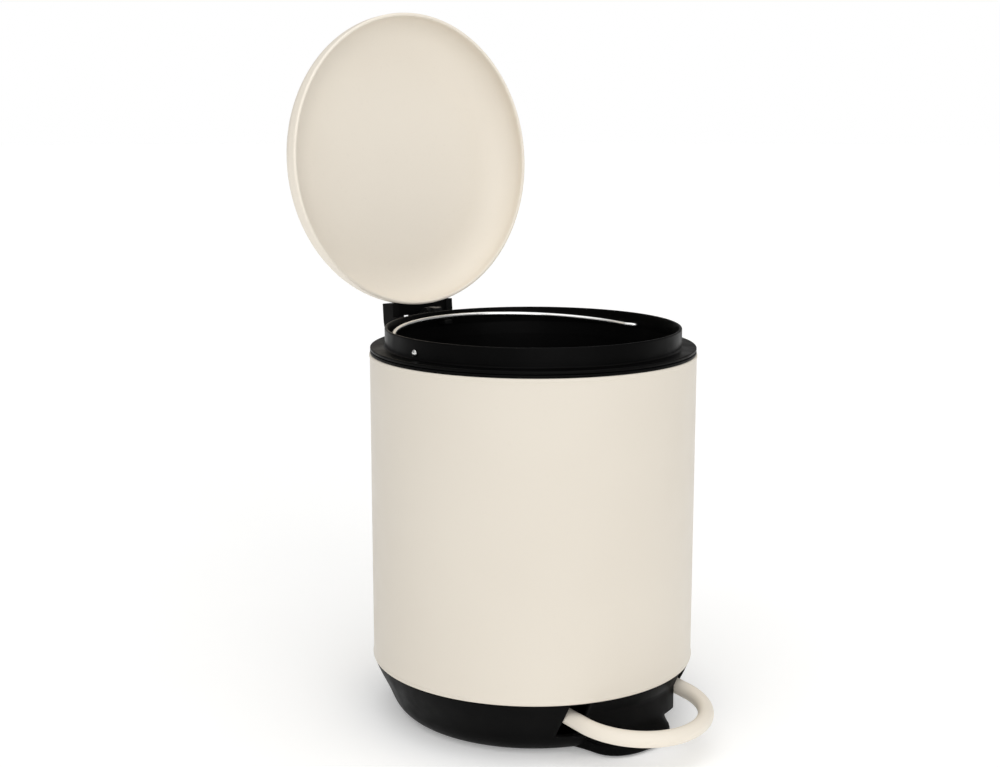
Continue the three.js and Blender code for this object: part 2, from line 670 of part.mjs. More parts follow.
function makeBush(side) {
  const sleeve = bar(3.1, [side * 20, 0, 0], [side * 31, 0, 0]);
  const flange = bar(5.2, [side * 30.3, 0, 0], [side * 32, 0, 0]);
  return cut(join(sleeve, flange), bar(AXLE_R + 0.15, [-40, 0, 0], [40, 0, 0]));
}

// ---- axle and its bearings on the base ----

function axleBar(radius, x0, x1, sides = SMALL) {
  return bar(radius, [x0, AXLE_Y, AXLE_Z], [x1, AXLE_Y, AXLE_Z], sides);
}

function makeBearing(side) {
  const shape = new THREE.Shape();
  shape.moveTo(AXLE_Y - 11, BASE_FLOOR + GAP);
  shape.lineTo(AXLE_Y + 11, BASE_FLOOR + GAP);
  shape.lineTo(AXLE_Y + 6.5, AXLE_Z);
  shape.absarc(AXLE_Y, AXLE_Z, 6.5, 0, Math.PI);
  const room = baseHollow().scale([0.995, 0.995, 1]);
  return cut(slab(shape, span(side, 56.5, 63)).intersect(room), axleBar(AXLE_R + 0.25, -70, 70));
}

function makeAxleClip(side) {
  const [x0, x1] = span(side, 63.4, 64.4);
  const washer = axleBar(5, x0, x1);
  const mouth = block([x0 - 1, x1 + 1], [AXLE_Y - 1.6, AXLE_Y + 1.6], [AXLE_Z, AXLE_Z + 9]);
  return cut(washer, axleBar(AXLE_R + 0.15, x0 - 1, x1 + 1), mouth);
}

// ---- putting it together ----

add('outer_shell', makeShell(), cream());
add('base', makeBase(), black());
add('base_ring', makeBaseRing(), rubber());
add('tongue_pad', plate(padOutline(PAD_HALF), [0, PAD_TOP]), rubber());
BASE_SCREW_ANGLES.forEach((angle, i) => (
  add(`base_screw_${i + 1}`, makeBaseScrew(angle), steel())
));
add('top_ring', makeTopRing(), black());
add('inner_bucket', makeBucket(), black());

add('hinge_housing', makeHousing(), black());
add('housing_plate', makeHousingPlate(), steel());
add('hinge_pin', bar(HINGE_PIN_R, [-26.5, HINGE_Y, HINGE_Z], [26.5, HINGE_Y, HINGE_Z]), steel());

SIDES.forEach(([name, side]) => {
  const cap = bar(3.6, [side * 26, HINGE_Y, HINGE_Z], [side * 28.5, HINGE_Y, HINGE_Z]);
  const capHole = bar(HINGE_PIN_R + 0.2, [side * 20, HINGE_Y, HINGE_Z], [side * 27, HINGE_Y, HINGE_Z]);
  add(`pin_cap_${name}`, cut(cap, capHole), black());
  add(`housing_screw_${name}`, makeHousingScrew(side), steel());
  add(`axle_bearing_${name}`, makeBearing(side), black());
  add(`axle_clip_${name}`, makeAxleClip(side), steel());
});

add('pedal_axle', axleBar(AXLE_R, -66, 66), steel());
add('rod_guide', makeRodGuide(), black());
add('push_rod', makePushRod(), steel());
add('rod_yoke', makeYoke(), steel());

const bailGroup = new THREE.Group();
bailGroup.position.set(0, 0, BAIL_Z);
bailGroup.rotation.x = BAIL_TILT;
bin.add(bailGroup);
add('bucket_handle', makeBail(), steel(), bailGroup);

const lidGroup = new THREE.Group();
lidGroup.position.set(0, HINGE_Y, HINGE_Z);
lidGroup.rotation.x = -LID_OPEN;
bin.add(lidGroup);
add('lid', makeLid(), cream(), lidGroup);
add('lid_bracket', makeLidBracket(), black(), lidGroup);
add('crank_pin', crankPinBar(CRANK_PIN_R, 7.2), steel(), lidGroup);
SIDES.forEach(([name, side]) => add(`lid_screw_${name}`, makeLidScrew(side), steel(), lidGroup));

const pedalGroup = new THREE.Group();
pedalGroup.position.set(0, AXLE_Y, AXLE_Z);
pedalGroup.rotation.x = PEDAL_TILT;
bin.add(pedalGroup);
add('pedal', makePedal(), cream(), pedalGroup);
add('pedal_lever', makeLever(), steel(), pedalGroup);
SIDES.forEach(([name, side]) => {
  add(`pedal_clamp_${name}`, makeClamp(side), steel(), pedalGroup);
  add(`lever_bush_${name}`, makeBush(side), nylon(), pedalGroup);
  clampScrewSpots(side).forEach((x, i) => (
    add(`clamp_screw_${name}_${i + 1}`, makeClampScrew(x), steel(), pedalGroup)
  ));
});

export default bin;
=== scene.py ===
"""Round pedal bin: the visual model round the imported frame, with its camera, light and floor."""

import json
import math

import bmesh
import bpy
from mathutils import Matrix, Vector


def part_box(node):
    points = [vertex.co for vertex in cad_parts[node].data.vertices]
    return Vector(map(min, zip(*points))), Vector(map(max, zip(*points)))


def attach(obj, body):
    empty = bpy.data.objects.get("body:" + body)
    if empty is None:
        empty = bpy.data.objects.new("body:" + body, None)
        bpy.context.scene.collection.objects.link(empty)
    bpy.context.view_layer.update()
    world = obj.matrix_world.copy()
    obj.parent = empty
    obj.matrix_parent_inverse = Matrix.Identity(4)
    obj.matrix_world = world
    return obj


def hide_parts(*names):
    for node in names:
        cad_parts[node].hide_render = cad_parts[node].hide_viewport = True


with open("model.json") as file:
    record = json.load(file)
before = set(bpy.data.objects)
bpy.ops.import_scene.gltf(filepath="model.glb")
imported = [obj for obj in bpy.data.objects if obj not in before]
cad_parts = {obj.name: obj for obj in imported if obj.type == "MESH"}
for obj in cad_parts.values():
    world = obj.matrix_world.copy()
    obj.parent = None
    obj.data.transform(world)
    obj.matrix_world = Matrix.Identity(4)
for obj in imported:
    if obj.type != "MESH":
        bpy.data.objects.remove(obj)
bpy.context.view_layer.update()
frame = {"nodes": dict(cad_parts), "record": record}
scene = bpy.context.scene
joints = {j["name"]: j for j in frame["record"]["behaviour"]["joints"]}

MM = 0.001
deg = math.radians

# ---- sizes, in millimetres, from the frame ----

shell_lo, shell_hi = (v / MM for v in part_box("outer_shell"))
flange_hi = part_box("inner_bucket")[1] / MM
HINGE = Vector(joints["lid_hinge"]["pos_m"]) / MM
AXLE = Vector(joints["pedal_pivot"]["pos_m"]) / MM
BAIL = Vector(joints["bail_hinge"]["pos_m"]) / MM
LID_OPEN = deg(joints["lid_hinge"]["range_deg"][1])
SHELL_R = shell_hi.x
FLANGE_R = flange_hi.x
NECK_TOP = flange_hi.z
SHELL_BOTTOM, SHELL_TOP = shell_lo.z, shell_hi.z
FLANGE_TOP = NECK_TOP - 12
NECK_R, NECK_IN_R = 93.1, 91.3
NOTCH_HALF = 8.5
LID_R, LID_T = 97.2, 1.3
BAIL_R, BAIL_WIRE_R = 87.5, 1.5
BAIL_TILT = deg(3)
PEDAL_TILT = deg(5.5)
PEDAL_TUBE_R = 4.9
PEDAL_HALF = 43.6  # middle of the bin to the middle of each arm
PEDAL_END, PEDAL_ARM, PEDAL_BOW = 7, 46, 40.8  # forward of the axle: tube's end, bow's start, depth
SCREW_GAP = 0.3


# ---- materials ----


class Nodes:
    """A material's node tree, with short ways to add to it."""

    def __init__(self, name):
        self.material = bpy.data.materials.new(name)
        self.material.use_nodes = True
        self.tree = self.material.node_tree
        self.shader = self.tree.nodes["Principled BSDF"]
        coords = self.tree.nodes.new("ShaderNodeTexCoord")
        self.place = coords.outputs["Object"]

    def add(self, kind, inputs=None, **settings):
        node = self.tree.nodes.new(kind)
        for key, value in settings.items():
            setattr(node, key, value)
        for key, value in (inputs or {}).items():
            if isinstance(value, bpy.types.NodeSocket):
                self.tree.links.new(value, node.inputs[key])
            else:
                node.inputs[key].default_value = value
        return node

    def noise(self, scale, detail=3.0, stretch=None):
        place = self.place
        if stretch:
            place = self.add("ShaderNodeMapping", {"Vector": place, "Scale": stretch}).outputs[0]
        node = self.add("ShaderNodeTexNoise", {"Vector": place, "Scale": scale, "Detail": detail})
        return node.outputs["Fac"]

    def ramp(self, value, low, high, start=0.0, end=1.0):
        """value from start to end, spread from low to high."""
        node = self.add("ShaderNodeMapRange", {
            "Value": value, "From Min": start, "From Max": end, "To Min": low, "To Max": high,
        })
        return node.outputs[0]

    def mix(self, share, a, b):
        node = self.add("ShaderNodeMix", data_type="RGBA")
        for index, value in ((0, share), (6, a), (7, b)):
            if isinstance(value, bpy.types.NodeSocket):
                self.tree.links.new(value, node.inputs[index])
            else:
                node.inputs[index].default_value = value
        return node.outputs[2]

    def times(self, a, b):
        return self.add("ShaderNodeMath", {0: a, 1: b}, operation="MULTIPLY").outputs[0]

    def bump(self, height, strength, distance, under=None):
        inputs = {"Height": height, "Strength": strength, "Distance": distance}
        if under:
            inputs["Normal"] = under
        return self.add("ShaderNodeBump", inputs).outputs[0]

    def edges(self, start, end):
        """1 on outer edges, 0 on flat surfaces."""
        pointy = self.add("ShaderNodeNewGeometry").outputs["Pointiness"]
        return self.ramp(pointy, 0.0, 1.0, start, end)

    def finish(self, color, roughness, normal=None):
        for name, value in (("Base Color", color), ("Roughness", roughness), ("Normal", normal)):
            if isinstance(value, bpy.types.NodeSocket):
                self.tree.links.new(value, self.shader.inputs[name])
            elif value is not None:
                self.shader.inputs[name].default_value = value
        return self.material


def rgba(r, g, b):
    return (r, g, b, 1.0)


def cream_paint(name="cream_paint", painted_light_gain=1.0, roughness=0.44):
    """Powder coat: fine orange peel, a trace of unevenness, and lighter outer edges that are partly
    edge wear and partly a painted highlight on the rims.
    """
    n = Nodes(name)
    cloud = n.noise(9.0, 2.0)
    speck = n.noise(420.0, 2.0)
    # painted_light_gain above 1 gives a lighter copy of the same paint: painted light for parts that
    # are lit more brightly.
    tone = n.mix(
        n.ramp(cloud, 0.0, 1.0, 0.3, 0.7),
        rgba(0.706 * painted_light_gain, 0.650 * painted_light_gain, 0.564 * painted_light_gain),
        rgba(0.730 * painted_light_gain, 0.675 * painted_light_gain, 0.588 * painted_light_gain),
    )
    dusty = n.mix(n.ramp(speck, 0.0, 0.10, 0.62, 0.85), tone, rgba(0.60, 0.54, 0.46))
    # Outer edges mixed towards a lighter cream: partly edge wear, partly a painted highlight along
    # the rims.
    lighter_edges = n.mix(n.times(n.edges(0.53, 0.62), 0.35), dusty, rgba(0.86, 0.81, 0.73))
    rough = n.ramp(n.noise(60.0, 4.0), roughness - 0.06, roughness + 0.06, 0.3, 0.7)
    peel = n.bump(n.noise(900.0, 2.0), 0.10, 0.0003)
    peel = n.bump(n.noise(160.0, 1.0), 0.05, 0.0008, peel)
    n.shader.inputs["Specular IOR Level"].default_value = 0.4
    n.shader.inputs["Coat Weight"].default_value = 0.06
    n.shader.inputs["Coat Roughness"].default_value = 0.25
    return n.finish(lighter_edges, rough, peel)


def black_plastic(name="black_plastic", base=0.0022, roughness=0.42, grain=0.16, shine=0.035):
    """Moulded plastic: a fine spark-eroded grain, faint dust and edges rubbed smooth."""
    n = Nodes(name)
    cloud = n.noise(26.0, 3.0)
    tone = n.mix(
        n.ramp(cloud, 0.0, 1.0, 0.3, 0.7), rgba(base, base, base), rgba(*(base * 1.7,) * 3)
    )
    dust = n.ramp(n.noise(700.0, 3.0), 0.0, 0.10, 0.60, 0.80)
    dusty = n.mix(dust, tone, rgba(0.012, 0.0115, 0.011))
    lighter_edges = n.mix(n.times(n.edges(0.53, 0.65), 0.5), dusty, rgba(0.012, 0.012, 0.012))
    rough = n.ramp(n.noise(90.0, 4.0), roughness - 0.08, roughness + 0.08, 0.3, 0.7)
    fine = n.bump(n.noise(1600.0, 2.0), grain, 0.0002)
    n.shader.inputs["Specular IOR Level"].default_value = shine
    return n.finish(lighter_edges, rough, fine)


def rubber(name="rubber"):
    n = Nodes(name)
    tone = n.mix(n.ramp(n.noise(40.0), 0.0, 1.0, 0.3, 0.7), rgba(0.010, 0.010, 0.010),
                 rgba(0.022, 0.021, 0.020))
    rough = n.ramp(n.noise(200.0), 0.72, 0.92, 0.3, 0.7)
    n.shader.inputs["Specular IOR Level"].default_value = 0.2
    return n.finish(tone, rough, n.bump(n.noise(1200.0), 0.3, 0.0002))


def bright_metal(name, color, roughness, scratch=(1.0, 1.0, 40.0), tint=0.9):
    """Plated steel: fine lines along the drawing direction and slightly uneven plating."""
    n = Nodes(name)
    dark = rgba(*(c * tint for c in color))
    tone = n.mix(n.ramp(n.noise(70.0, 4.0), 0.0, 1.0, 0.35, 0.65), dark, rgba(*color))
    lines = n.noise(300.0, 4.0, stretch=scratch)
    rough = n.ramp(lines, roughness - 0.05, roughness + 0.10, 0.3, 0.75)
    n.shader.inputs["Metallic"].default_value = 1.0
    return n.finish(tone, rough, n.bump(lines, 0.06, 0.0001))


def zinc(name="zinc_steel"):
    """Zinc plate over sheet steel: crystal patches and a faint yellow cast."""
    n = Nodes(name)
    patch = n.add("ShaderNodeTexVoronoi", {"Vector": n.place, "Scale": 190.0}).outputs["Color"]
    grey = n.add("ShaderNodeSeparateColor", {"Color": patch}).outputs[0]
    tone = n.mix(grey, rgba(0.50, 0.50, 0.48), rgba(0.64, 0.64, 0.62))
    stained = n.mix(n.ramp(n.noise(30.0), 0.0, 0.5, 0.5, 0.8), tone, rgba(0.60, 0.56, 0.44))
    rough = n.ramp(grey, 0.30, 0.46)
    n.shader.inputs["Metallic"].default_value = 1.0
    return n.finish(stained, rough, n.bump(n.noise(500.0), 0.08, 0.0002))


def nylon(name="nylon"):
    n = Nodes(name)
    tone = n.mix(n.noise(60.0), rgba(0.66, 0.63, 0.56), rgba(0.74, 0.71, 0.64))
    n.shader.inputs["Subsurface Weight"].default_value = 0.1
    n.shader.inputs["Subsurface Scale"].default_value = 0.002
    return n.finish(tone, n.ramp(n.noise(150.0), 0.45, 0.6), n.bump(n.noise(900.0), 0.1, 0.0002))


MATERIALS = {
    "painted_steel": cream_paint(),
    "black_plastic": black_plastic(),
    "bucket_plastic": black_plastic("bucket_plastic", 0.0014, 0.36, 0.10, 0.04),
    "rubber": rubber(),
    "nylon": nylon(),
    "bright_wire": bright_metal("bright_wire", (0.86, 0.86, 0.85), 0.20),
    "bright_steel": bright_metal("bright_steel", (0.66, 0.67, 0.68), 0.30),
    "zinc_steel": zinc(),
}
# A lighter copy of the cream paint for the lid: painted light, the same paint as the body made
# brighter.
LID_PAINT_BRIGHTENED = cream_paint("lid_paint_brightened", 1.19)
# A lighter copy of the cream paint for the pedal: painted light.
PEDAL_PAINT_BRIGHTENED = cream_paint("pedal_paint_brightened", 1.14)
BLACKENED = bright_metal("blackened_steel", (0.045, 0.045, 0.047), 0.42)


# ---- mesh tools: outlines in millimetres, meshes in metres ----


def rounded(corners, steps=5, closed=True):
    """An outline of (u, v) or (u, v, radius) corners, with each radius turned into an arc."""
    points = []
    count = len(corners)
    for i, corner in enumerate(corners):
        here = Vector(corner[:2])
        radius = corner[2] if len(corner) > 2 else 0
        ends = not closed and i in (0, count - 1)
        if not radius or ends:
            points.append(here)
            continue
        before = Vector(corners[i - 1][:2]) - here
        after = Vector(corners[(i + 1) % count][:2]) - here
        half = before.angle(after) / 2
        reach = min(radius / math.tan(half), before.length * 0.49, after.length * 0.49)
        radius = reach * math.tan(half)
        start, end = here + before.normalized() * reach, here + after.normalized() * reach
        centre = here + (before.normalized() + after.normalized()).normalized() * (
            radius / math.sin(half)
        )
        a, b = start - centre, end - centre
        turn = a.angle(b)
        for k in range(steps + 1):
            t = k / steps
            share = (a * math.sin((1 - t) * turn) + b * math.sin(t * turn)) / math.sin(turn)
            points.append(centre + share)
    return [(p.x, p.y) for p in points]


def ellipse(centre, radii, start, end, steps):
    """Points of an ellipse's arc, angles in degrees."""
    angles = [deg(start + (end - start) * k / steps) for k in range(steps + 1)]
    return [(centre[0] + radii[0] * math.cos(a), centre[1] + radii[1] * math.sin(a)) for a in angles]


def bezier(p, steps, first=0):
    """Points of a cubic curve."""
    out = []
    for k in range(first, steps + 1):
        t = k / steps
        w = ((1 - t) ** 3, 3 * t * (1 - t) ** 2, 3 * t * t * (1 - t), t**3)
        out.append(tuple(sum(w[i] * p[i][axis] for i in range(4)) for axis in (0, 1)))
    return out


def lathe(profile, segments=192):
    """A profile of (radius, height) turned about the Z axis, closed at the axis or on itself."""
    bm = bmesh.new()
    rings = []
    for r, z in profile:
        if r < 1e-6:
            rings.append([bm.verts.new((0, 0, z * MM))])
            continue
        angles = [2 * math.pi * k / segments for k in range(segments)]
        rings.append([
            bm.verts.new((r * MM * math.cos(a), r * MM * math.sin(a), z * MM)) for a in angles
        ])
    if len(rings[0]) > 1 and len(rings[-1]) > 1:
        rings.append(rings[0])
    join_rings(bm, rings, True)
    return bm


def join_rings(bm, rings, around):
    """Faces between neighbouring rings of vertices; a ring of one vertex is a pole."""
    for a, b in zip(rings, rings[1:]):
        count = max(len(a), len(b))
        for k in range(count if around else count - 1):
            n = (k + 1) % count
            quad = [a[k % len(a)], a[n % len(a)], b[n % len(b)], b[k % len(b)]]
            corners = list(dict.fromkeys(quad))
            if len(corners) > 2:
                bm.faces.new(corners)


def sweep(path, radius, sides=24, rounds=4):
    """A round bar along a path of points in millimetres, with domed ends."""
    points = [Vector(p) for p in path]
    bm = bmesh.new()
    tangents = []
    for k in range(len(points)):
        a, b = points[max(k - 1, 0)], points[min(k + 1, len(points) - 1)]
        tangents.append((b - a).normalized())
    normal = tangents[0].orthogonal().normalized()
    rings = []

    def ring(centre, tangent, r):
        side = normal.cross(tangent)
        out = []
        for k in range(sides):
            a = 2 * math.pi * k / sides
            out.append(bm.verts.new(MM * (centre + r * (normal * math.cos(a) + side * math.sin(a)))))
        return out

    def dome(centre, tangent, outward):
        made = []
        for k in range(rounds):
            a = math.pi / 2 * k / rounds
            reach = radius * 0.35 * math.sin(a) * outward
            made.append(ring(centre + tangent * reach, tangent, radius * math.cos(a)))
        tip = centre + tangent * radius * 0.35 * outward
        return made, [bm.verts.new(MM * tip)]

    first, tip = dome(points[0], tangents[0], -1)
    rings.extend([tip, *reversed(first)])
    for k in range(1, len(points) - 1):
        axis = tangents[k - 1].cross(tangents[k])
        if axis.length > 1e-9:
            turn = tangents[k - 1].angle(tangents[k])
            normal = Matrix.Rotation(turn, 3, axis.normalized()) @ normal
        rings.append(ring(points[k], tangents[k], radius))
    normal = (normal - tangents[-1] * normal.dot(tangents[-1])).normalized()
    last, tip = dome(points[-1], tangents[-1], 1)
    rings.extend([*last, tip])
    join_rings(bm, rings, True)
    return bm


def prism(outline, x0, x1, bevel=0.5, axis="X"):
    """An outline in (y, z), drawn out along X, or one in (x, y) along Z, with rounded edges."""
    bm = bmesh.new()
    loops = []
    for x in (x0, x1):
        if axis == "X":
            loops.append([bm.verts.new((x * MM, u * MM, v * MM)) for u, v in outline])
        else:
            loops.append([bm.verts.new((u * MM, v * MM, x * MM)) for u, v in outline])
    bm.faces.new(loops[0])
    bm.faces.new(loops[1])
    count = len(outline)
    for k in range(count):
        n = (k + 1) % count
        bm.faces.new([loops[0][k], loops[0][n], loops[1][n], loops[1][k]])
    bmesh.ops.recalc_face_normals(bm, faces=bm.faces)
    if bevel:
        soften(bm, bevel)
    return bm


def soften(bm, width, least=32):
    """Rounds the edges that turn by more than an angle."""
    edges = [e for e in bm.edges if len(e.link_faces) == 2 and e.calc_face_angle() > deg(least)]
    bmesh.ops.bevel(
        bm, geom=edges, offset=width * MM, segments=3, profile=0.5, affect="EDGES",
        clamp_overlap=True,
    )


def box_mesh(x, y, z, bevel=0.0):
    return prism([(y[0], z[0]), (y[1], z[0]), (y[1], z[1]), (y[0], z[1])], x[0], x[1], bevel)


def merge(*parts):
    """Several meshes as one."""
    whole = bmesh.new()
    for bm in parts:
        mesh = bpy.data.meshes.new("part")
        bm.to_mesh(mesh)
        bm.free()
        whole.from_mesh(mesh)
        bpy.data.meshes.remove(mesh)
    return whole


def placed(bm, matrix):
    bmesh.ops.transform(bm, matrix=matrix, verts=bm.verts)
    return bm


def about_hinge(point, angle):
    """Takes a mesh drawn with a hinge's axis at the origin to its place, turned about X."""
    return Matrix.Translation(point * MM) @ Matrix.Rotation(angle, 4, "X")


def smooth(mesh, angle):
    mesh.polygons.foreach_set("use_smooth", [True] * len(mesh.polygons))
    mesh.set_sharp_from_angle(angle=deg(angle))


def loose(name, bm):
    bmesh.ops.recalc_face_normals(bm, faces=bm.faces)
    mesh = bpy.data.meshes.new(name)
    bm.to_mesh(mesh)
    bm.free()
    obj = bpy.data.objects.new(name, mesh)
    scene.collection.objects.link(obj)
    return obj


def settle(obj, angle=35):
    """Turns the object's modifiers into its mesh."""
    bpy.context.view_layer.update()
    graph = bpy.context.evaluated_depsgraph_get()
    mesh = bpy.data.meshes.new_from_object(obj.evaluated_get(graph))
    obj.modifiers.clear()
    obj.data = mesh
    smooth(mesh, angle)


def carve(obj, cutters, angle=35):
    made = [loose("cutter", bm) for bm in cutters]
    for cutter in made:
        cut = obj.modifiers.new("cut", "BOOLEAN")
        cut.operation = "DIFFERENCE"
        cut.solver = "EXACT"
        cut.object = cutter
    settle(obj, angle)
    for cutter in made:
        bpy.data.objects.remove(cutter)


def piece(name, bm, slot, body, *nodes, cutters=(), angle=35):
    """A finished piece that rides on a body and stands for CAD nodes."""
    obj = loose(name, bm)
    smooth(obj.data, angle)
    if cutters:
        carve(obj, cutters, angle)
    obj.data.materials.clear()
    obj.data.materials.append(MATERIALS[slot])
    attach(obj, body)
    if nodes:
        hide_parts(*nodes)
    return obj


# ---- body shell: a rolled steel wall with a small bead at each end ----


def crank_notch():
    return box_mesh((-NOTCH_HALF, NOTCH_HALF), (88, 112), (214, 245))


def make_shell():
    r, low, high = SHELL_R, SHELL_BOTTOM, SHELL_TOP
    bead, wall = 0.35, 1.0
    profile = rounded([
        (r - wall, low + 3), (r - wall - 0.3, low, 0.6), (r + bead, low, 0.8),
        (r + bead, low + 1.9, 0.6), (r, low + 2.5, 0.6), (r, high - 2.5, 0.6),
        (r + bead, high - 1.9, 0.6), (r + bead, high, 0.8), (r - wall - 0.3, high, 0.6),
        (r - wall, high - 3),
    ])
    piece("shell_wall", lathe(profile, 256), "painted_steel", "bin_body", "outer_shell",
          cutters=[crank_notch()])


# ---- base: a moulded bowl, a front apron between the pedal slots and a foot under it ----

APRON_R = 98.5
TONGUE_Y = 84.6
TONGUE_REACH = 23.5
TONGUE_HALF = 30
SLOT_IN, SLOT_OUT = 37.8, 49.4
SLOT_BOTTOM, SLOT_TOP = 12.5, 36.1


def smoothstep(a, b, x):
    t = min(max((x - a) / (b - a), 0), 1)
    return t * t * (3 - 2 * t)


def soft_max(a, b, k):
    h = max(k - abs(a - b), 0) / k
    return max(a, b) + h * h * k / 4


def bowl_profile():
    low = bezier([(76, 0.8), (84, 0.8), (88.5, 5.5), (91.4, 12.8)], 60)
    return low + bezier([(91.4, 12.8), (94.6, 21), (99.2, 28), (102.3, 36.4)], 60, 1)


def lookup(points, key, value):
    """The other coordinate of an outline at a value of one, between its points."""
    for a, b in zip(points, points[1:]):
        low, high = sorted((a[key], b[key]))
        if low <= value <= high and high > low:
            t = (value - a[key]) / (b[key] - a[key])
            return a[1 - key] + t * (b[1 - key] - a[1 - key])
    return points[-1][1 - key] if value > points[-1][key] else points[0][1 - key]


def tongue_profile():
    """How far the foot reaches forward of its own centre at each height."""
    edge = [(TONGUE_REACH - 2.6 + 2.6 * math.sin(deg(a)), 3.4 - 2.6 * math.cos(deg(a)))
            for a in range(0, 91, 10)]
    top = [(TONGUE_REACH, 6.8), (TONGUE_REACH - 0.3, 7.6), (TONGUE_REACH - 1, 8.4)]
    flare = bezier([(TONGUE_REACH - 1, 8.4), (TONGUE_REACH - 6, 10.4), (15, 12.5), (13, 20)], 16, 1)
    return edge + top + flare


def make_base():
    bowl = bowl_profile()
    foot = tongue_profile()
    heights = [0.8, 0.84, 0.92, 1.05, 1.25, 1.5, 1.8, 2.2, 2.8, 3.5, 4.3, 5.2, 6.2, 7.0, 7.6]
    heights += [8.0, 8.4, 8.8, 9.2, 9.7, 10.3, 10.9, 11.4, 11.8, 12.15, 12.5, 12.9, 13.4, 14.0]
    heights += [14.8, 15.8, 17, 18.4, 20, 22, 24, 26, 28, 30, 32, 34, 35.2, SLOT_TOP, 36.4]
    inner = [0.6 * k for k in range(55)]
    sides = [33.4, 34.6, 35.8, 36.8, SLOT_IN, 39.5, 42, 45, 47.7, SLOT_OUT, 51, 53.5, 56.5, 60]
    half = inner + sides
    columns = [-x for x in reversed(half)] + half[1:]
    arc = 150

    def front(x, r, z):
        wall = math.sqrt(r * r - x * x)
        share = smoothstep(11.6, 13.4, z) * (1 - smoothstep(SLOT_IN, SLOT_IN + 1, abs(x)))
        if share and r < APRON_R:
            wall = max(wall, wall + share * (math.sqrt(APRON_R**2 - x * x) - wall))
        reach = lookup(foot, 1, z)
        if z <= 20:
            half = TONGUE_HALF if z > 8 else reach + TONGUE_HALF - TONGUE_REACH
            across = min(abs(x) / half, 1)
            out = TONGUE_Y + reach * (1 - across**2.5) ** 0.4 - max(abs(x) - half, 0) * 4
            wall = soft_max(wall, out, 1.6)
        return wall

    def row(r, z):
        points = [(x, -front(x, r, z)) for x in columns]
        start = math.asin(60 / r)
        for k in range(1, arc):
            a = start + (2 * math.pi - 2 * start) * k / arc
            points.append((r * math.sin(a), -r * math.cos(a)))
        return points

    bm = bmesh.new()
    rows = [(z, row(lookup(bowl, 1, z), z)) for z in heights]
    first = rows[0][1]
    turns = [math.atan2(x, -y) for x, y in first]
    rings = [[bm.verts.new((0, 0, 0.8 * MM))]]
    for r, z in [(20, 0.8), (45, 0.8), (62.2, 0.8), (62.7, 1.2), (62.7, 2.1), (70.3, 2.1),
                 (70.3, 1.2), (70.8, 0.8), (74, 0.8)]:
        rings.append([
            bm.verts.new((r * MM * math.sin(a), -r * MM * math.cos(a), z * MM)) for a in turns
        ])
    for z, points in rows:
        rings.append([bm.verts.new((x * MM, y * MM, z * MM)) for x, y in points])
    for r, z in ((101.4, 36.55), (100.9, 37.2), (100.9, 46)):
        spots = [math.atan2(x, -y) for x, y in rows[-1][1]]
        rings.append([
            bm.verts.new((r * MM * math.sin(a), -r * MM * math.cos(a), z * MM)) for a in spots
        ])
    join_rings(bm, rings, True)
    gone = []
    for face in bm.faces:
        c = face.calc_center_median() / MM
        xs = [abs(v.co.x) / MM for v in face.verts]
        in_slot = min(xs) > SLOT_IN - 0.01 and max(xs) < SLOT_OUT + 0.01
        if in_slot and SLOT_BOTTOM < c.z < SLOT_TOP and c.y < -60:
            gone.append(face)
    bmesh.ops.delete(bm, geom=gone, context="FACES")
    obj = loose("base_bowl", bm)
    thick = obj.modifiers.new("wall", "SOLIDIFY")
    thick.thickness = 2.3 * MM
    thick.offset = -1
    edge = obj.modifiers.new("edge", "BEVEL")
    edge.limit_method = "ANGLE"
    edge.angle_limit = deg(60)
    edge.width = 0.5 * MM
    edge.segments = 2
    settle(obj, 38)
    # The thickened wall hangs below each slot's upper edge, so it is brought level with it.
    for v in obj.data.vertices:
        x, y, z = v.co / MM
        if SLOT_IN + 0.6 < abs(x) < SLOT_OUT - 0.6 and y < -60 and 30 < z < SLOT_TOP:
            v.co.z = SLOT_TOP * MM
    obj.data.materials.clear()
    obj.data.materials.append(MATERIALS["black_plastic"])
    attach(obj, "bin_body")
    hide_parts("base")


# ---- the black ring, the bucket and its bail ----


def make_top_ring():
    r = SHELL_R
    profile = rounded([
        (98.6, 218, 0.4), (100.6, 218, 0.4), (100.6, SHELL_TOP + 0.3, 0.3),
        (r - 0.2, SHELL_TOP + 0.3, 0.4), (r - 0.2, 234.3, 0.5), (98.6, 234.3, 0.5),
    ], 4)
    piece("top_band", lathe(profile, 224), "black_plastic", "bin_body", "top_ring",
          cutters=[crank_notch()])


def make_bucket():
    f, n = FLANGE_TOP, NECK_TOP
    outer = rounded([
        (0, 52), (79, 52, 8), (92.4, f - 2, 0.8), (FLANGE_R, f - 2, 0.7), (FLANGE_R, f, 0.7),
        (NECK_R, f, 1.2), (NECK_R, n, 1.0), (NECK_IN_R, n, 1.0), (NECK_IN_R, f + 2, 4),
        (90.4, f - 6, 4),
        (76.9, 54, 7), (0, 54),
    ], 6, closed=False)
    ledges = [
        box_mesh((-3, 3), y, (240.3, 243.3), 0.6) for y in ((84.5, 92), (-92, -84.5))
    ]
    bm = merge(lathe(outer, 256), *ledges)
    notch = box_mesh((-NOTCH_HALF, NOTCH_HALF), (93.7, 112), (228, 245))
    piece("bucket", bm, "bucket_plastic", "bin_body", "inner_bucket", cutters=[notch])


def rivet_head(side):
    """The wire's peened end outside the neck."""
    head = lathe([(0.0, 94.9), (0.9, 94.8), (1.6, 94.45), (2.1, 93.9), (2.1, 93.4), (0.0, 93.4)], 32)
    return placed(head, Matrix.Rotation(deg(90 * side), 4, "Y"))


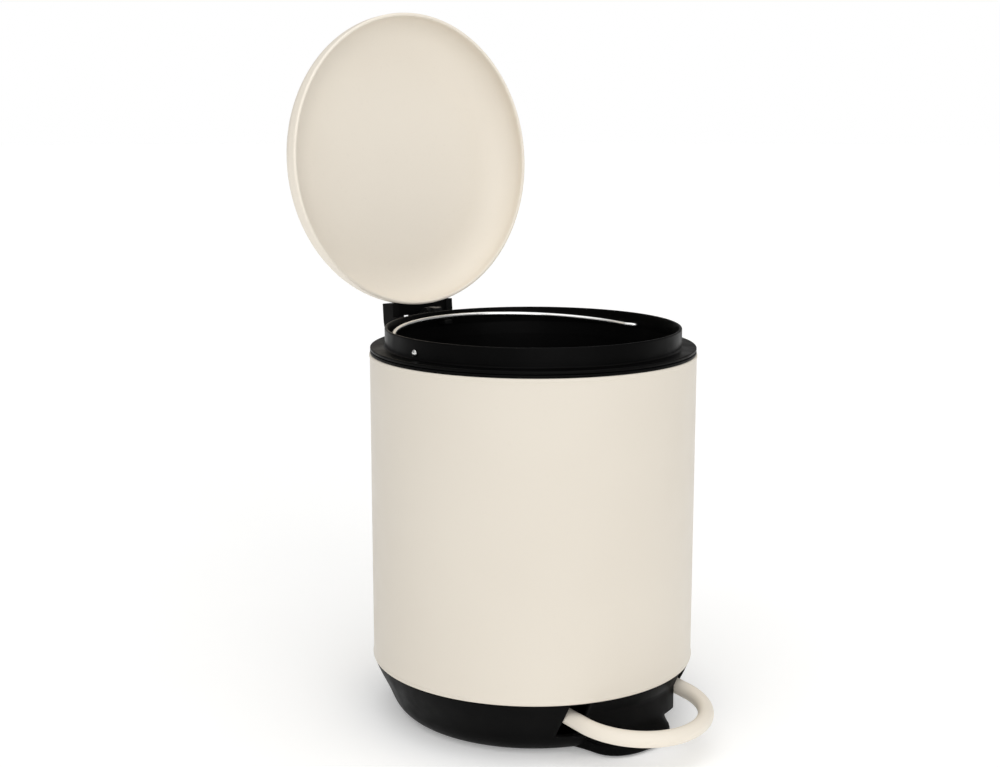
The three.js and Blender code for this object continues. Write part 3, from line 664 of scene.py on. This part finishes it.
def make_bail():
    half = [(94.2, 0), (93.4, 0), (92.6, 0.0), (91.6, 0.12), (90.5, 0.5), (89.5, 1.3), (88.7, 2.6)]
    for k in range(0, 87):
        a = deg(3.2 + (90 - 3.2) * k / 86)
        half.append((BAIL_R * math.cos(a), BAIL_R * math.sin(a)))
    path = [(x, y, 0) for x, y in half] + [(-x, y, 0) for x, y in reversed(half[:-1])]
    bm = merge(sweep(path, BAIL_WIRE_R, 16), rivet_head(1), rivet_head(-1))
    placed(bm, about_hinge(BAIL, BAIL_TILT))
    piece("bail_wire", bm, "bright_wire", "bail", "bucket_handle")


# ---- lid: pressed steel with a soft round and a rolled lip, drawn closed ----


def make_lid():
    r, t = LID_R, LID_T
    wall, reach, rise, crown = 5, 28.7, 19.5, 2
    flat = r - reach
    top = wall + rise
    outer = ellipse((flat, wall), (reach, rise), 0, 90, 40)
    outer += [(flat * k / 14, top + crown * (1 - (k / 14) ** 2)) for k in range(13, -1, -1)]
    inner = [(flat * k / 14, top - t + crown * (1 - (k / 14) ** 2)) for k in range(0, 14)]
    inner += ellipse((flat - t * 0.2, wall), (reach - t * 0.8, rise - t), 90, 0, 40)
    lip = rounded([
        (r - t, wall), (r - t, 3.3, 0.8), (r - 2.2, 2.7, 0.6), (r - 2.2, 0, 1.1), (r + 0.1, 0, 1.1),
        (r + 0.1, 2.7, 0.5), (r, 3.2, 0.5), (r, wall),
    ], 6, closed=False)
    profile = outer + inner + lip[1:-1]
    bm = lathe_closed_at_axis(profile, len(outer), 256)
    place = about_hinge(HINGE, -LID_OPEN) @ Matrix.Translation((0, -HINGE.y * MM, 0))
    obj = piece("lid_shell", placed(bm, place), "painted_steel", "lid", "lid")
    # The lid takes the lighter copy of the cream paint: painted light.
    obj.data.materials[0] = LID_PAINT_BRIGHTENED


def lathe_closed_at_axis(profile, top_end, segments):
    """A cup: the outline runs from the lip over the outside to the axis and back inside."""
    outside = profile[:top_end]
    inside = profile[top_end:]
    bm = bmesh.new()
    rings = []
    for r, z in [*outside, *inside]:
        if r < 1e-6:
            rings.append([bm.verts.new((0, 0, z * MM))])
            continue
        rings.append([
            bm.verts.new((
                r * MM * math.cos(2 * math.pi * k / segments),
                r * MM * math.sin(2 * math.pi * k / segments), z * MM,
            )) for k in range(segments)
        ])
    poles = [i for i, ring in enumerate(rings) if len(ring) == 1]
    join_rings(bm, rings[:poles[0] + 1], True)
    join_rings(bm, [*rings[poles[1]:], rings[0]], True)
    return bm


# ---- pedal: a painted tube bent into a loop ----


def make_pedal():
    straight = PEDAL_ARM - PEDAL_END
    half = [(PEDAL_HALF, -PEDAL_END - straight * k / 20) for k in range(20)]
    for k in range(61):
        a = deg(90 * k / 60)
        half.append((PEDAL_HALF * math.cos(a), -PEDAL_ARM - PEDAL_BOW * math.sin(a)))
    path = [(x, y, 0) for x, y in half] + [(-x, y, 0) for x, y in reversed(half[:-1])]
    bm = placed(sweep(path, PEDAL_TUBE_R, 32), about_hinge(AXLE, PEDAL_TILT))
    obj = piece("pedal_loop", bm, "painted_steel", "pedal", "pedal")
    # The pedal takes the lighter copy of the cream paint: painted light.
    obj.data.materials[0] = PEDAL_PAINT_BRIGHTENED


# ---- small round pieces: the hinge's pin and caps, the base's screws and rubber ring ----


def along(point, direction):
    """Takes a mesh drawn along Z to a point, with Z turned to a direction."""
    turn = Vector(direction).to_track_quat("Z", "Y").to_matrix().to_4x4()
    return Matrix.Translation(Vector(point) * MM) @ turn


def round_bar(node, inner, outer):
    """A turned piece along X in the room of a CAD node, with its own edge rounding at each end."""
    low, high = (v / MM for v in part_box(node))
    middle = (low + high) / 2
    r = (high.z - low.z) / 2
    length = high.x - low.x
    side = -1 if middle.x < 0 else 1
    profile = rounded([(0, 0), (r, 0, inner), (r, length, outer), (0, length)], 6, closed=False)
    start = (middle.x - side * length / 2, middle.y, middle.z)
    return placed(lathe(profile, 48), along(start, (side, 0, 0)))


def make_small_pieces():
    piece("hinge_bar", round_bar("hinge_pin", 0.4, 0.4), "bright_steel", "bin_body", "hinge_pin")
    for node in ("pin_cap_left", "pin_cap_right"):
        piece("round_" + node, round_bar(node, 0.3, 1.1), "black_plastic", "bin_body", node)
    ring = lathe(rounded([(63, 0, 0.5), (70, 0, 0.5), (70, 1.9, 0.3), (63, 1.9, 0.3)], 4), 192)
    piece("rubber_ring", ring, "rubber", "bin_body", "base_ring")
    screw = [(0, -6.3), (1.4, -6.3, 0.4), (1.4, 0), (3, 0, 0.2), (3, 0.75, 0.6), (1.5, 1.3, 0.6),
             (0, 1.3)]
    for node in ("base_screw_1", "base_screw_2"):
        low, high = (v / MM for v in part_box(node))
        middle = (low + high) / 2
        out = Vector((middle.x, middle.y, 0)).normalized()
        seat = out * (SHELL_R + SCREW_GAP) + Vector((0, 0, middle.z))
        cross = [
            placed(box_mesh(x, y, (0.5, 3)), along(seat, out))
            for x, y in (((-1.7, 1.7), (-0.35, 0.35)), ((-0.35, 0.35), (-1.7, 1.7)))
        ]
        head = placed(lathe(rounded(screw, 4, closed=False), 48), along(seat, out))
        piece("pan_" + node, head, "bright_steel", "bin_body", node, cutters=cross)


# ---- CAD pieces that keep their shape: rounded edges and their own finish ----


def dress_cad():
    slots = {s["node"]: s["material_slot"] for s in frame["record"]["subparts"]}
    for name, obj in frame["nodes"].items():
        obj.data.materials.clear()
        dark = name.startswith(("rod_yoke", "crank_pin", "lid_screw"))
        obj.data.materials.append(BLACKENED if dark else MATERIALS[slots[name]])
        if name in ("hinge_housing", "lid_bracket", "rod_yoke", "housing_plate", "rod_guide",
                    "axle_bearing_left", "axle_bearing_right", "pedal_lever",
                    "pedal_clamp_left", "pedal_clamp_right"):
            edge = obj.modifiers.new("edge", "BEVEL")
            edge.limit_method = "ANGLE"
            edge.angle_limit = deg(40)
            edge.width = 0.4 * MM
            edge.segments = 2


# ---- floor, light and camera ----


def make_stage():
    bm = bmesh.new()
    bmesh.ops.create_circle(bm, cap_ends=True, radius=14, segments=96)
    floor = loose("floor", bm)
    n = Nodes("floor_paper")
    n.shader.inputs["Specular IOR Level"].default_value = 0.1
    tone = n.mix(n.noise(3.0), rgba(0.90, 0.90, 0.895), rgba(0.93, 0.93, 0.925))
    n.shader.inputs["Emission Color"].default_value = rgba(1, 1, 1)
    n.shader.inputs["Emission Strength"].default_value = 0.23
    floor.data.materials.append(n.finish(tone, 0.8))

    world = bpy.data.worlds.new("studio")
    scene.world = world
    world.use_nodes = True
    tree = world.node_tree
    back = tree.nodes["Background"]
    seen = tree.nodes.new("ShaderNodeBackground")
    path = tree.nodes.new("ShaderNodeLightPath")
    both = tree.nodes.new("ShaderNodeMixShader")
    back.inputs["Color"].default_value = (1, 0.995, 0.985, 1)
    back.inputs["Strength"].default_value = 0.34
    seen.inputs["Color"].default_value = (1, 1, 1, 1)
    seen.inputs["Strength"].default_value = 1.0
    tree.links.new(path.outputs["Is Camera Ray"], both.inputs[0])
    tree.links.new(back.outputs[0], both.inputs[1])
    tree.links.new(seen.outputs[0], both.inputs[2])
    tree.links.new(both.outputs[0], tree.nodes["World Output"].inputs["Surface"])


def soft_sun(name, azimuth, elevation, spread, strength):
    """A wide, far light, as even as a large softbox."""
    data = bpy.data.lights.new(name, "SUN")
    data.angle = deg(spread)
    data.energy = strength
    light = bpy.data.objects.new(name, data)
    a, e = deg(azimuth), deg(elevation)
    back = Vector((math.sin(a) * math.cos(e), -math.cos(a) * math.cos(e), math.sin(e)))
    light.rotation_euler = (-back).to_track_quat("-Z", "Y").to_euler()
    scene.collection.objects.link(light)


def make_lights():
    soft_sun("key", -74, 30, 60, 0.30)
    soft_sun("front", -22, 12, 50, 1.10)
    soft_sun("top", -20, 80, 80, 1.35)


def make_camera():
    data = bpy.data.cameras.new("camera")
    camera = bpy.data.objects.new("camera", data)
    data.sensor_width = 36
    data.lens = 56.9
    r = SHELL_R * MM
    azimuth = deg(41.6)
    distance, height = 9.6 * r, 3.42 * r
    camera.location = (
        -distance * math.sin(azimuth), -distance * math.cos(azimuth), SHELL_BOTTOM * MM + height,
    )
    camera.rotation_euler = (deg(90 - 10.13), 0, deg(-41.6 + 1.21))
    scene.collection.objects.link(camera)
    scene.camera = camera


scene.view_settings.view_transform = "Standard"
make_camera()
make_lights()
make_stage()
dress_cad()
make_shell()
make_base()
make_top_ring()
make_bucket()
make_bail()
make_small_pieces()
make_lid()
make_pedal()
